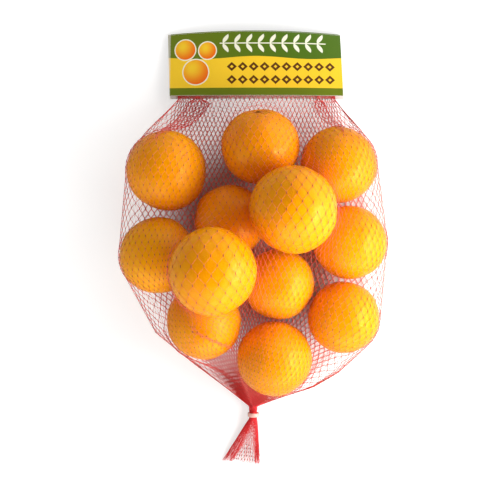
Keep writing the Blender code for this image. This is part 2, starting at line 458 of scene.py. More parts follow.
def neck_height():
    """The neck's centre above the floor, which keeps the clip's underside just off the floor."""
    turns_to_bottom = (270 - CLIP_START) / 360
    return NECK_RADIUS + 1.2 * CLIP_CLEARANCE + CLIP_THICKNESS + CLIP_PITCH * turns_to_bottom


def neck_loop(y):
    """The net gathered round at the neck."""
    angles = round_angles()
    x = NECK_RADIUS * np.cos(angles)
    z = neck_height() + NECK_RADIUS * np.sin(angles)
    return np.stack([x, np.full(CELLS_ROUND, y), z], axis=1)


def side_climb():
    """How far the net's sides have risen at each row: 0 at mouth and neck, 1 between them."""
    share = np.linspace(0, 1, BODY_ROWS)
    climb = np.clip(np.minimum(share / MOUTH_RISE, (1 - share) / NECK_RISE), 0, 1)
    return climb**2 * (3 - 2 * climb)


def outline(fruits, side):
    """The net's outermost line on one side, 1 right or -1 left, from mouth to neck.

    Seen from above it is stretched straight from fruit to fruit.
    """
    ring = np.linspace(0, 2 * math.pi, 120, endpoint=False)
    mouth, neck = flat_loop(-MOUTH_CLEARANCE), neck_loop(NECK_Y)
    column = 0 if side > 0 else CELLS_ROUND // 2
    points = [mouth[column, :2], neck[column, :2], *SLACK_POINTS]
    for x, y, z, radius in fruits:
        reach = radius + NET_THICKNESS
        points += zip(x + reach * np.cos(ring), y + reach * np.sin(ring))
    chain = []
    for point in sorted(points, key=lambda p: -p[1]):
        while len(chain) > 1:
            before, corner = chain[-2:]
            bend = (corner[0] - before[0]) * (point[1] - corner[1])
            bend -= (corner[1] - before[1]) * (point[0] - corner[0])
            if bend * side < 0:
                break
            chain.pop()
        chain.append(point)
    chain = np.array(chain)
    run = np.concatenate([[0], np.cumsum(np.hypot(*np.diff(chain, axis=0).T))])
    even = np.linspace(0, run[-1], BODY_ROWS)
    ends = np.linspace(mouth[column, 2], neck[column, 2], BODY_ROWS)
    height = ends + (RIM_HEIGHT - ends) * side_climb()
    x, y = (np.interp(even, run, chain[:, axis]) for axis in (0, 1))
    return np.stack([x, y, height], axis=1)


def side_columns(extra=0):
    """The columns rounded over the right and left side lines, and extra ones beside them."""
    steps = range(-SIDE_STEPS - extra, SIDE_STEPS + extra + 1)
    return [(first + step) % CELLS_ROUND for first in (0, CELLS_ROUND // 2) for step in steps]


def side_strips(right, left):
    """The points that the side columns keep to."""
    strips = []
    turn_per_column = 360 / CELLS_ROUND + (SIDE_TURN - 360 / CELLS_ROUND) * side_climb()
    for line, side in ((right, 1), (left, -1)):
        for step in range(-SIDE_STEPS, SIDE_STEPS + 1):
            turn = np.radians(turn_per_column * step) + math.pi * (side < 0)
            strip = line.copy()
            strip[:, 0] += SIDE_ROUNDING * line[:, 2] * (np.cos(turn) - side)
            strip[:, 2] += SIDE_ROUNDING * line[:, 2] * np.sin(turn)
            strips.append(strip)
    return np.stack(strips, axis=1)


def slack_net(right, left):
    """The net blown up over the fruits between its two side lines, before it is pulled tight."""
    angles = round_angles()
    middle, half = (right + left) / 2, (right - left) / 2
    skin = middle[:, None] + half[:, None] * np.cos(angles)[None, :, None]
    rim = middle[:, None, 2]
    top = DOME_HEIGHT * rim / RIM_HEIGHT - rim
    skin[:, :, 2] = rim + np.where(np.sin(angles) > 0, top, rim) * np.sin(angles)
    skin[0], skin[-1] = flat_loop(-MOUTH_CLEARANCE), neck_loop(NECK_Y)
    return skin


def push_out(points, fruits, distance):
    """Moves points that are nearer than this distance to a fruit away from it, in place."""
    for x, y, z, radius in fruits:
        offset = points - np.array([x, y, z])
        away = np.maximum(np.linalg.norm(offset, axis=-1, keepdims=True), 1e-9)
        points += offset * np.maximum((radius + distance) / away - 1, 0)


def pulled(net):
    """The rows between the first and last, moved by the pull of the cells beside them."""
    held = net[1:-1]
    along = net[:-2] + net[2:] - 2 * held
    turn = np.roll(held, 1, axis=1) + np.roll(held, -1, axis=1) - 2 * held
    return held + PULL_ALONG * along + PULL_ROUND * turn


def pull_tight(skin, columns, strips, fruits, steps):
    """Shrinks the net on to the fruits and the floor while its sides keep their lines."""
    for _ in range(steps):
        moved = pulled(skin)
        moved[:, columns] = strips[1:-1]
        push_out(moved, fruits, NET_THICKNESS)
        moved[:, :, 2] = np.maximum(moved[:, :, 2], 0)
        skin[1:-1] = moved


def hang(skin, columns, fruits):
    """Lets the net sink under its own weight, on to the fruits above and the floor below them."""
    height = skin[:, :, 2]
    upper = np.arange(CELLS_ROUND) <= CELLS_ROUND // 2
    lowest = np.where(upper, LEAST_FILL * height[:, :1], 0)
    highest = np.full(height.shape, np.inf)
    weight = NET_WEIGHT * side_climb()[1:-1, None]
    for x, y, z, radius in fruits:
        room = (radius + NET_THICKNESS) ** 2 - (skin[:, :, 0] - x) ** 2 - (skin[:, :, 1] - y) ** 2
        half = np.sqrt(np.maximum(room, 0))
        over, under = upper & (room > 0) & (height > z), ~upper & (room > 0) & (height < z)
        lowest = np.where(over, np.maximum(lowest, z + half), lowest)
        highest = np.where(under, np.minimum(highest, z - half), highest)
    for _ in range(HANG_STEPS):
        moved = pulled(height) - weight
        moved[:, columns] = height[1:-1, columns]
        height[1:-1] = np.clip(moved, lowest[1:-1], highest[1:-1])


def body_skin(fruits):
    """The net between header and neck, as rows of points round the bag."""
    right, left = outline(fruits, 1), outline(fruits, -1)
    skin = slack_net(right, left)
    columns = side_columns()
    pull_tight(skin, columns, side_strips(right, left), fruits, TIGHTEN_STEPS)
    hang(skin, columns, fruits)
    beside = side_columns(EASE_MARGIN)
    pull_tight(skin, beside, skin[:, beside], fruits, EASE_STEPS)
    return skin


def tail_loop(share):
    """The net past the clip: share runs from 0 at the clip to 1 at the ragged end."""
    angles = round_angles()
    half_width = NECK_RADIUS + (TAIL_HALF_WIDTH - NECK_RADIUS) * share**0.85
    half_height = NECK_RADIUS + (TAIL_HALF_HEIGHT - NECK_RADIUS) * share**0.6
    across = np.cos(angles)
    beside = (across - PARTING_AT) / PARTING_WIDTH
    across = across + PARTING_PUSH * PARTING_WIDTH * beside * np.exp(-(beside**2)) * share
    across = np.clip(across, -1, 1)
    start_y = CLIP_Y - CLIP_WIDTH
    length = start_y + BAG_LENGTH / 2
    ragged = TAIL_SKEW * (1 - across) / 2
    x = TAIL_TIP_X * share + half_width * across
    y = start_y - (length - ragged * share) * share
    z = half_height * np.sin(angles) + neck_height() * (1 - share) + (half_height + NET_THICKNESS) * share
    return np.stack([x, y, np.maximum(z, 0)], axis=1)


def whole_skin(fruits):
    """The net's rows from its edge inside the header to the end of its tail."""
    depths = np.linspace(TUCK_DEPTH, -MOUTH_CLEARANCE, TUCK_ROWS, endpoint=False)
    tucked = [flat_loop(depth) for depth in depths]
    neck = [neck_loop(y) for y in np.linspace(NECK_Y, CLIP_Y - CLIP_WIDTH, NECK_ROWS + 1)[1:]]
    tail = [tail_loop(row / TAIL_ROWS) for row in range(1, TAIL_ROWS + 1)]
    return np.array([*tucked, *body_skin(fruits), *neck, *tail])


def sample_skin(skin, rows, columns):
    """Points of the skin at fractional rows and columns, the columns going round."""
    rows = np.clip(rows, 0, len(skin) - 1.001)
    row, column = np.floor(rows).astype(int), np.floor(columns).astype(int)
    down, over = (rows - row)[..., None], (columns - column)[..., None]
    here, beside = column % CELLS_ROUND, (column + 1) % CELLS_ROUND
    upper = skin[row, here] * (1 - over) + skin[row, beside] * over
    lower = skin[row + 1, here] * (1 - over) + skin[row + 1, beside] * over
    return upper * (1 - down) + lower * down


def nearest_cell(skin, place):
    """The row and column of the net's upper side that lie nearest a place seen from above."""
    upper = skin[:, : CELLS_ROUND // 2 + 1, :2]
    apart = np.linalg.norm(upper - np.array(place), axis=2)
    return np.unravel_index(np.argmin(apart), apart.shape)


def fold_net(skin, rows, columns):
    """Columns taken in by the folds, and how far the folded layers stand off the net below."""
    lift = np.zeros(columns.shape)
    for start, end, start_cells, end_cells in FOLDS:
        first_row, first_column = nearest_cell(skin, start)
        last_row, last_column = nearest_cell(skin, end)
        share = (rows - first_row) / (last_row - first_row)
        fade = np.clip(np.minimum(share, 1 - share) / FOLD_FADE + 1, 0, 1)
        share = np.clip(share, 0, 1)
        middle = first_column + (last_column - first_column) * share
        cells = start_cells + (end_cells - start_cells) * share
        beside = (columns - middle) / cells
        bell = fade * np.exp(-(beside**2))
        columns = columns - FOLD_TURN * cells * beside * bell
        lift += FOLD_LIFT * np.minimum(cells / FULL_FOLD, 1) * bell * (1 + 0.5 * beside)
    return columns, lift


def mesh_piece(name, verts, faces):
    """A smooth mesh object from arrays of points and faces."""
    mesh = bpy.data.meshes.new(name)
    mesh.from_pydata(verts.tolist(), [], faces)
    mesh.shade_smooth()
    item = bpy.data.objects.new(name, mesh)
    bpy.context.scene.collection.objects.link(item)
    return item


def unit(vectors):
    """The same directions with length one."""
    return vectors / np.maximum(np.linalg.norm(vectors, axis=-1, keepdims=True), 1e-12)


def how_gathered(skin, rows, columns, lift):
    """How closely the threads are drawn together at each point: 0 spread open, 1 bunched."""
    apart = np.linalg.norm(np.roll(skin, -1, axis=1) - skin, axis=2, keepdims=True)
    close = 1 - sample_skin(apart, rows, columns)[..., 0] / OPEN_SPACING
    return np.clip(np.maximum(close, 1.4 * lift / FOLD_LIFT - 0.5), 0, 1)


def thread_tubes(name, paths, outward, radius, marks):
    """One mesh of square-section threads along paths, all given as arrays of threads by points.

    The marks are values for the material, by attribute name.
    """
    threads, points = paths.shape[:2]
    along = unit(np.gradient(paths, axis=1))
    side = unit(np.cross(along, outward))
    normal = np.cross(side, along)
    corners = [paths + radius[..., None] * offset for offset in (side, normal, -side, -normal)]
    verts = np.stack(corners, axis=2).reshape(-1, 3)
    ring = np.arange(threads * points * 4).reshape(threads, points, 4)
    here, after = ring[:, :-1], ring[:, 1:]
    walls = np.stack([here, after, np.roll(after, -1, 2), np.roll(here, -1, 2)], axis=-1).reshape(-1, 4)
    caps = np.concatenate([ring[:, 0], ring[:, -1, ::-1]])
    item = mesh_piece(name, verts, np.concatenate([walls, caps]).tolist())
    for key, values in marks.items():
        item.data.attributes.new(key, "FLOAT", "POINT").data.foreach_set("value", np.repeat(values, 4))
    return item


def knot_beads(name, centres, along, outward, radius, length):
    """One mesh of small knots, each a bead with two square rings between its tips."""
    side = unit(np.cross(along, outward))
    normal = np.cross(side, along)
    points = [centres - length * along]
    for reach in (-KNOT_SHOULDER, KNOT_SHOULDER):
        ring = centres + reach * length * along
        points += [ring + radius * offset for offset in (side, normal, -side, -normal)]
    points.append(centres + length * along)
    verts = np.stack(points, axis=1).reshape(-1, 3)
    faces = []
    for start in range(0, len(verts), 10):
        low, high = start, start + 9
        for corner in range(4):
            after = (corner + 1) % 4
            a, b = start + 1 + corner, start + 1 + after
            faces += [(low, a, b), (a, a + 4, b + 4, b), (high, b + 4, a + 4)]
    return mesh_piece(name, verts, faces)


def thread_layout(rows):
    """Every thread's fractional columns at its points, and the rows of those points.

    Two threads start in each column and zigzag half a cell to either side, row by row, so
    that each meets its neighbour in a short joint where they run side by side.
    """
    steps = np.arange(rows)[:, None] + np.array([-JOINT_SHARE, JOINT_SHARE])
    point_rows = steps.reshape(-1)[1:-1]
    odd = (np.repeat(np.arange(rows), 2)[1:-1] % 2).astype(float)
    lanes = []
    for side in (1, -1):
        apart = side * (JOINT_GAP + odd * (0.5 - 2 * JOINT_GAP))
        lanes.append(np.arange(CELLS_ROUND)[:, None] + apart[None])
    columns = np.concatenate(lanes)
    return np.repeat(point_rows[None], len(columns), axis=0), columns


def knot_layout(rows):
    """The rows and columns of every knot, each row half a cell beside the last."""
    knot_rows, columns = np.meshgrid(np.arange(1, rows - 1), np.arange(CELLS_ROUND), indexing="ij")
    return knot_rows.astype(float), columns + 0.5 * (knot_rows % 2)


def rough_ends(rows):
    """The rows with the tail's threads ended unevenly, and how far each point curls sideways."""
    tail_start = TUCK_ROWS + BODY_ROWS + NECK_ROWS
    rng = np.random.default_rng(7)
    shorter = 1 - THREAD_END_SPREAD * rng.random((len(rows), 1)) ** 2
    share = np.clip((rows - tail_start) / TAIL_ROWS, 0, 1)
    rows = np.where(share > 0, tail_start + (rows - tail_start) * shorter, rows)
    curl = THREAD_END_CURL * share**2 * np.sin(rng.random((len(rows), 1)) * 6.3 + 5 * share)
    return rows, curl


def skin_normals(skin):
    """Outward directions at every point of the skin."""
    along = np.gradient(skin, axis=0)
    turn = np.roll(skin, -1, axis=1) - np.roll(skin, 1, axis=1)
    return unit(np.cross(turn, along))


# Materials

def peel_groups():
    """The two effects that every peel shares: its colour over the fruit and its pores."""
    nodes, given, out = new_group(
        "Peel colour",
        {"Place": "Vector", "Gold": "Color", "Deep": "Color", "Ripeness": "Float", "Scar": "Float"},
        {"Colour": "Color", "Roughness": "Float"})
    broad = nodes.noise(given["Place"], PEEL_MOTTLE, 2.0)
    fine = nodes.noise(given["Place"], PEEL_SPECKLE, 4.0)
    share = nodes.math("MULTIPLY_ADD", broad, MOTTLE_DEPTH, given["Ripeness"])
    share = nodes.math("SUBTRACT", share, MOTTLE_DEPTH / 2, clamp=True)
    skin = nodes.mix(share, given["Gold"], given["Deep"])
    speckle = nodes.times(nodes.ramp(fine, 0.60, 0.74), SPECKLE_DEPTH)
    skin = nodes.mix(speckle, skin, colour(*SPECKLE_COLOUR))
    skin = nodes.mix(given["Scar"], skin, colour(*SCAR_COLOUR))
    nodes.into(out, Colour=skin, Roughness=nodes.ramp(fine, -0.45, 2.4))
    colour_group = nodes.tree

    nodes, given, out = new_group(
        "Peel pores", {"Place": "Vector", "Pore size": "Float"}, {"Height": "Float"})
    scale = nodes.math("DIVIDE", 1.0, given["Pore size"])
    cells = nodes.add("ShaderNodeTexVoronoi", {"Vector": given["Place"], "Scale": scale})
    pit = nodes.ramp(cells.outputs["Distance"], 0.08, 0.42)
    swell = nodes.noise(given["Place"], PEEL_SWELLS, 3.0)
    nodes.into(out, Height=nodes.math("MULTIPLY_ADD", swell, 0.9, pit))
    return colour_group, nodes.tree


def peel_material(name, ripeness, settings, groups):
    """Orange peel: mottled gold and orange, waxy, with pores and a brown stem scar."""
    colour_group, pore_group = groups
    material, nodes, shader = new_material(
        name, Specular_IOR_Level=0.32, Specular_Tint=colour(255, 218, 138),
        Subsurface_Weight=0.10, Subsurface_Scale=0.003, Subsurface_Radius=(1.0, 0.45, 0.10))
    place = nodes.object_place()
    skin = place_group(nodes, colour_group, Place=place, Gold=settings.gold, Deep=settings.deep,
                       Ripeness=ripeness, Scar=nodes.attribute("scar"))
    pores = place_group(nodes, pore_group, Place=place, Pore_size=settings.pore_size)
    nodes.into(shader, Base_Color=skin["Colour"], Roughness=skin["Roughness"],
               Normal=nodes.bump(pores["Height"], 0.35, 0.0003))
    return material


def thread_material(settings):
    """Knitted plastic thread: palest on the doubled underside, a painted light that lifts the shade under
    the bag, and deep red where it is gathered.
    """
    material, nodes, shader = new_material("net_thread", Sheen_Weight=0.1, Sheen_Roughness=0.4)
    tone = nodes.ramp(nodes.noise(nodes.object_place(), THREAD_TONES, 2.0), 0.35, 0.65)
    thread = nodes.mix(tone, settings.thread_dark, settings.thread_light)
    # Painted light: the underside threads are mixed paler, to lift the shade under the bag
    thread = nodes.mix(nodes.attribute("doubled"), thread, settings.thread_underside_painted_light)
    thread = nodes.mix(nodes.attribute("gathered"), thread, settings.thread_gathered)
    nodes.into(shader, Base_Color=thread, Roughness=nodes.math("MULTIPLY_ADD", tone, 0.2, 0.42))
    return material


def knot_material(settings):
    """The net's knots, dark brownish red, some paler than others."""
    material, nodes, shader = new_material("net_knot")
    tone = nodes.ramp(nodes.noise(nodes.object_place(), KNOT_TONES, 2.0), 0.35, 0.65)
    nodes.into(shader, Base_Color=nodes.mix(tone, settings.knot_dark, settings.knot_light),
               Roughness=nodes.math("MULTIPLY_ADD", tone, 0.2, 0.5))
    return material


def print_material(settings):
    """The card's printed side: green over yellow, with a garland, lozenges and three rounds."""
    material, nodes, shader = new_material("card_print", Specular_IOR_Level=0.3)
    place = nodes.object_place()
    axes = nodes.add("ShaderNodeSeparateXYZ", {"Vector": place}).outputs
    across = nodes.less(axes["X"], HEADER_X)
    up = nodes.less(axes["Y"], MOUTH_Y)
    edge = PRINT_SOFTNESS

    def inside(value, limit):
        return nodes.ramp(value, limit + edge, limit - edge)

    def between(value, low, high):
        return nodes.times(nodes.ramp(value, low - edge, low + edge), inside(value, high))

    def away_from(x, y):
        wide, high = nodes.less(across, x), nodes.less(up, y)
        return nodes.math("SQRT", nodes.math("MULTIPLY_ADD", wide, wide, nodes.times(high, high)))

    def repeated(start, pitch):
        """How far each place is from the middle of its own repeat along the card."""
        return nodes.less(nodes.math("MODULO", nodes.less(across, start), pitch), pitch / 2)

    green_share = nodes.ramp(across, -0.5 * HEADER_WIDTH, 0.25 * HEADER_WIDTH)
    green = nodes.mix(green_share, settings.olive, settings.green)
    swell = nodes.math("COSINE", nodes.times(across, 2 * math.pi / HILL_PITCH))
    hill = nodes.math("MULTIPLY_ADD", swell, HILL_HEIGHT, FIELD_EDGE)
    ink = nodes.mix(inside(nodes.less(up, hill), 0.0), green, settings.yellow)
    ink = nodes.mix(inside(up, FOOT_STRIP), ink, settings.olive)

    # The garland's leaves lean away from its stem, mirrored above and below it
    off_stem = nodes.size(nodes.less(up, GARLAND_UP))
    climb = nodes.less(off_stem, LEAF_LENGTH)
    lean = nodes.math("MULTIPLY_ADD", climb, -LEAF_LEAN, repeated(GARLAND_START, GARLAND_PITCH))
    bulge = nodes.math("DIVIDE", climb, LEAF_LENGTH)
    width = nodes.less(LEAF_WIDTH, nodes.times(nodes.times(bulge, bulge), LEAF_WIDTH))
    leaf = inside(nodes.less(nodes.size(lean), width), 0.0)
    garland = nodes.math("MAXIMUM", leaf, inside(off_stem, GARLAND_STEM))
    reach = between(across, GARLAND_START, GARLAND_START + GARLAND_LEAVES * GARLAND_PITCH)
    ink = nodes.mix(nodes.times(garland, reach), ink, settings.cream)

    # Two rows of lozenges with open middles
    along = nodes.size(repeated(LOZENGE_START, LOZENGE_PITCH))
    reach = between(across, LOZENGE_START, LOZENGE_START + LOZENGES * LOZENGE_PITCH)
    for row in LOZENGE_ROWS:
        high = nodes.size(nodes.less(up, row))
        size = nodes.math("MULTIPLY_ADD", high, 0.5 * LOZENGE_PITCH / LOZENGE_HEIGHT, along)
        lozenge = between(size, LOZENGE_OPENING * LOZENGE_PITCH, LOZENGE_REACH * LOZENGE_PITCH)
        ink = nodes.mix(nodes.times(lozenge, reach), ink, settings.brown)

    # Rounds with a pale rim, lit from their upper left
    for x, y, size in PRINTED_ROUNDS:
        apart = away_from(x, y)
        ink = nodes.mix(inside(apart, size + ROUND_RIM), ink, settings.cream)
        glow = nodes.ramp(away_from(x - 0.3 * size, y + 0.35 * size), 1.5 * size, 0.0)
        ink = nodes.mix(inside(apart, size), ink, nodes.mix(glow, settings.orange, settings.yellow))

    # Bare board where the card's edges are rubbed
    grain = nodes.noise(place, PRINT_GRAIN, 2.0)
    side_gap = nodes.less(0.5 * HEADER_WIDTH, nodes.size(across))
    gap = nodes.math("MINIMUM", side_gap, nodes.size(up))
    gap = nodes.math("MULTIPLY_ADD", grain, RUBBED_UNEVENLY, gap)
    bare = nodes.times(nodes.ramp(gap, RUBBED_REACH, RUBBED_BARE), RUBBED_SHARE)
    ink = nodes.mix(bare, ink, settings.board)
    nodes.into(shader, Base_Color=ink, Roughness=nodes.math("MULTIPLY_ADD", grain, 0.15, 0.34),
               Normal=nodes.bump(nodes.noise(place, PAPER_SWELLS, 3.0), 0.25, 0.0004))
    return material


def floor_material(settings):
    """A pale table with painted light: a glow seen only by the camera, growing outwards from under the bag
    and whitening the bag's shadow round it.
    """
    material, nodes, shader = new_material("floor_paper", Roughness=0.9, Specular_IOR_Level=0.0)
    place = nodes.object_place()
    tone = nodes.ramp(nodes.noise(place, 3.0), 0.2, 0.8)
    dull = [0.99 * part for part in settings.floor]
    middle = nodes.vector("SUBTRACT", place, PAINTED_GLOW_CENTRE)[0]
    away = nodes.vector("LENGTH", nodes.vector("DIVIDE", middle, PAINTED_GLOW_REACH)[0])["Value"]
    seen = nodes.add("ShaderNodeLightPath").outputs["Is Camera Ray"]
    # Painted light: camera rays alone see the floor glow, from none under the bag to full round it, which
    # whitens the bag's shadow
    glow = nodes.times(nodes.ramp(away, PAINTED_GLOW_START, PAINTED_GLOW_FULL), seen)
    nodes.into(shader, Base_Color=nodes.mix(tone, settings.floor, dull),
               Emission_Color=nodes.mix(glow, (0, 0, 0), (1, 1, 1)), Emission_Strength=settings.painted_floor_glow)
    return material


def board_material(settings):
    """Bare pale board on the card's inner side and cut edges."""
    material, nodes, shader = new_material("card_board")
    fibre = nodes.noise(nodes.object_place(), BOARD_FIBRES, 4.0)
    dull = [0.9 * part for part in settings.board]
    nodes.into(shader, Base_Color=nodes.mix(fibre, dull, settings.board),
               Roughness=nodes.math("MULTIPLY_ADD", fibre, 0.2, 0.7))
    return material


def clip_material(settings):
    """Pale moulded strip, slightly glossy, with faint streaks."""
    material, nodes, shader = new_material("clip_strip", Coat_Weight=0.3, Coat_Roughness=0.2)
    streak = nodes.noise(nodes.object_place(), CLIP_STREAKS, 3.0)
    dull = [0.85 * part for part in settings.strip]
    nodes.into(shader, Base_Color=nodes.mix(streak, dull, settings.strip),
               Roughness=nodes.math("MULTIPLY_ADD", streak, 0.2, 0.3))
    return material


# Settings

def tint(name, description, r, g, b):
    return bpy.props.FloatVectorProperty(
        name=name, description=description, subtype="COLOR", size=3, min=0, max=1,
        default=colour(r, g, b)[:3])


def number(name, description, default, unit="LENGTH"):
    return bpy.props.FloatProperty(name=name, description=description, default=default, unit=unit)


class OrangeSettings(bpy.types.PropertyGroup):
    gold: tint("Gold", "Peel where it is palest", 242, 164, 4)
    deep: tint("Deep orange", "Peel where it is ripest", 242, 138, 2)
    pore_size: number("Pore size", "Distance between the peel's pores", 0.0013)
    dimple_depth: number("Dimple depth", "How far the peel dips round the stem", 0.0022)
    button_height: number("Button height", "Height of the stem's button", 0.0007)
    unevenness: number("Unevenness", "Depth of the fruits' broad hollows", 0.0022)
    relief: number("Relief", "Depth of the peel's small dimples", 0.00035)


class NetSettings(bpy.types.PropertyGroup):
    thread_light: tint("Light thread", "Spread thread in its paler stretches", 244, 120, 108)
    thread_dark: tint("Dark thread", "Spread thread in its deeper stretches", 232, 78, 70)
    thread_gathered: tint("Gathered thread", "Thread where the net is drawn together", 222, 10, 26)
    # Painted light: the underside is coloured paler than the spread thread, to lift the shade under the
    # bag
    thread_underside_painted_light: tint("Underside thread", "Net that lies doubled underneath", 250, 150, 142)
    thread_radius: number("Thread radius", "Half the thickness of a thread", 0.00010)
    doubled_radius: number("Underside thread radius", "Half the thickness of the net's underside", 0.00044)
    knot_light: tint("Light knot", "Knots where they are palest", 150, 62, 44)
    knot_dark: tint("Dark knot", "Knots where they are deepest", 96, 30, 26)
    knot_radius: number("Knot radius", "Half the thickness of a knot", 0.00024)


class HeaderSettings(bpy.types.PropertyGroup):
    green: tint("Green", "The upper field, towards the right", 76, 108, 20)
    olive: tint("Olive", "The upper field at its left end, and the strip at the foot", 104, 120, 18)
    yellow: tint("Yellow", "The lower field", 246, 202, 44)
    cream: tint("Cream", "The leaf garland", 240, 238, 214)
    brown: tint("Brown", "The two rows of lozenges", 92, 52, 14)
    orange: tint("Orange", "The printed rounds", 238, 104, 14)
    board: tint("Board", "The card's bare inner side and edges", 236, 226, 220)
    waviness: number("Waviness", "Depth of the card's soft swells", 0.0008)


class ClipSettings(bpy.types.PropertyGroup):
    strip: tint("Strip", "The crimped strip", 240, 186, 172)
    crimp: number("Crimp", "Depth of the ridges pressed into the strip", 0.00012)


class StageSettings(bpy.types.PropertyGroup):
    floor: tint("Floor", "The pale floor", 206, 205, 204)
    # Painted light: the strength of the glow that only the camera sees on the table round the bag
    painted_floor_glow: number("Table glow", "How brightly the table glows round the bag", 0.56, "NONE")
    camera_height: number("Camera height", "How far the camera is above the floor", 0.750)
    key_power: number("Key light", "Strength of the small soft light on the right", 1.05, "POWER")
    band_strength: number("Band strength", "Brightness of the low band round the bag", 2.05, "NONE")
    zenith_strength: number("Zenith strength", "Brightness straight above the bag", 0.08, "NONE")
    band_slant: number("Band slant", "How much brighter the band is towards the lower right", 0.85, "NONE")


# Pieces

def mark_scar(orange):
    """Writes how brown each point is: the button at the stem, and a faint dot at the base."""
    values = []
    for vert in orange.data.vertices:
        out = math.hypot(vert.co.x, vert.co.y)
        if vert.co.z > 0:
            values.append(math.exp(-((out / (1.25 * BUTTON_RADIUS)) ** 4)))
        else:
            values.append(0.5 * math.exp(-((out / BLOSSOM_RADIUS) ** 2)))
    orange.data.attributes.new("scar", "FLOAT", "POINT").data.foreach_set("value", values)


def shift_softly(distance, reach):
    """Moves the chosen points along their fruit's core, and takes those within reach with them."""
    bpy.ops.transform.translate(
        value=(0, 0, distance), orient_type="LOCAL", use_proportional_edit=True,
        proportional_edit_falloff="SMOOTH", proportional_size=reach)


def model_orange(name, place, radius, stem, flatness, settings, hollows):
    """One orange: a sphere flattened along its core, dimpled round a stem button, made uneven."""
    turn = Vector((0, 0, 1)).rotation_difference(Vector(stem)).to_euler()
    bpy.ops.mesh.primitive_uv_sphere_add(
        segments=FRUIT_SEGMENTS, ring_count=FRUIT_RINGS, radius=radius * PEEL_SWELL,
        location=place, rotation=turn)
    orange = bpy.context.object
    orange.name = orange.data.name = name
    bpy.ops.object.mode_set(mode="EDIT")
    bpy.ops.transform.resize(value=(1, 1, 1 - flatness), orient_type="LOCAL", center_override=place)
    edit_points(orange, lambda co: co.z > 0 and math.hypot(co.x, co.y) < BUTTON_RADIUS)
    shift_softly(-settings.dimple_depth, STEM_DIMPLE_REACH * radius)
    bpy.ops.mesh.inset(thickness=BUTTON_RIM)
    bpy.ops.mesh.extrude_region_move(
        TRANSFORM_OT_translate={"value": (0, 0, settings.button_height), "orient_type": "LOCAL"})
    bpy.ops.transform.resize(value=(BUTTON_TAPER, BUTTON_TAPER, 1), orient_type="LOCAL")
    edit_points(orange, lambda co: co.z < 0 and math.hypot(co.x, co.y) < BLOSSOM_RADIUS)
    shift_softly(settings.button_height / 2, BLOSSOM_DIMPLE_REACH * radius)
    bpy.ops.object.mode_set(mode="OBJECT")
    mark_scar(orange)
    place_in_mesh(orange)
    for texture, depth in zip(hollows, (settings.unevenness, settings.relief)):
        apply_modifier(orange, "DISPLACE", "hollows", texture=texture, strength=depth,
                       mid_level=0.75, texture_coords="LOCAL")
    orange.data.shade_smooth()
    return orange


def model_card(settings):
    """The card: one flat leaf, spun over at the fold and carried back down, laid over the net."""
    half_gap = (LEAF_GAP + PAPER_THICKNESS) / 2
    leaf = HEADER_HEIGHT - half_gap
    fold_y = MOUTH_Y + leaf
    bpy.ops.mesh.primitive_grid_add(
        x_subdivisions=CARD_COLUMNS, y_subdivisions=CARD_ROWS, size=1,
        location=(HEADER_X, MOUTH_Y + leaf / 2, half_gap))
    card = bpy.context.object
    card.name = card.data.name = "header"
    bpy.ops.object.mode_set(mode="EDIT")
    bpy.ops.transform.resize(value=(HEADER_WIDTH, leaf, 1))
    bpy.ops.object.mode_set(mode="OBJECT")
    place_in_mesh(card)
    edit_points(card, lambda co: co.y > fold_y - 0.0001)
    bpy.ops.mesh.spin(steps=CARD_FOLD_STEPS, angle=math.pi, center=(0, fold_y, 0), axis=(-1, 0, 0))
    step = (leaf + HEADER_BACK_EXTRA) / CARD_ROWS
    for _ in range(CARD_ROWS):
        bpy.ops.mesh.extrude_region_move(TRANSFORM_OT_translate={"value": (0, -step, 0)})
    bpy.ops.object.mode_set(mode="OBJECT")
    for vert in card.data.vertices:
        across = (vert.co.x - HEADER_X) / (HEADER_WIDTH / 2)
        x, y, z = header_middle(across, (vert.co.y - MOUTH_Y) / HEADER_HEIGHT)
        vert.co = x, y, z + vert.co.z
    apply_modifier(card, "DISPLACE", "swells", texture=clouds("card swells", CARD_SWELL_SPACING),
                   direction="Z", strength=settings.waviness, mid_level=0.5, texture_coords="LOCAL")
    return card


def model_clip(settings):
    """The strip: a flat end drawn out round the neck in short steps, a little over one turn."""
    neck = Vector((0, CLIP_Y, neck_height()))
    start = math.radians(CLIP_START)
    inner = NECK_RADIUS + CLIP_CLEARANCE
    bpy.ops.mesh.primitive_plane_add(size=1, location=neck, rotation=(0, 0, 0))
    clip = bpy.context.object
    clip.name = clip.data.name = "clip"
    bpy.ops.object.mode_set(mode="EDIT")
    bpy.ops.transform.resize(value=(CLIP_THICKNESS, CLIP_WIDTH, 1))
    bpy.ops.transform.translate(value=(inner + CLIP_THICKNESS / 2, 0, 0))
    bpy.ops.object.mode_set(mode="OBJECT")
    place_in_mesh(clip)
    edit_points(clip, lambda co: True)
    bpy.ops.mesh.bevel(offset=CLIP_THICKNESS * CLIP_EDGE_ROUNDING, segments=2, affect="VERTICES")
    turn = 2 * math.pi * CLIP_TURNS / CLIP_STEPS
    bpy.ops.transform.rotate(value=start, orient_axis="Y", center_override=neck)
    for step in range(CLIP_STEPS):
        angle = start + turn * (step + 1)
        ridge = settings.crimp if step % 2 else -settings.crimp
        grow = CLIP_PITCH * CLIP_TURNS / CLIP_STEPS + ridge
        away = Vector((math.cos(angle), 0, math.sin(angle))) * grow
        bpy.ops.mesh.extrude_region_move()
        bpy.ops.transform.rotate(value=turn, orient_axis="Y", center_override=neck)
        bpy.ops.transform.translate(value=away)
    bpy.ops.object.mode_set(mode="OBJECT")
    edit_points(clip, lambda co: True)
    bpy.ops.mesh.normals_make_consistent(inside=False)
    bpy.ops.object.mode_set(mode="OBJECT")
    bpy.ops.object.shade_smooth_by_angle(angle=math.radians(50))
    return clip


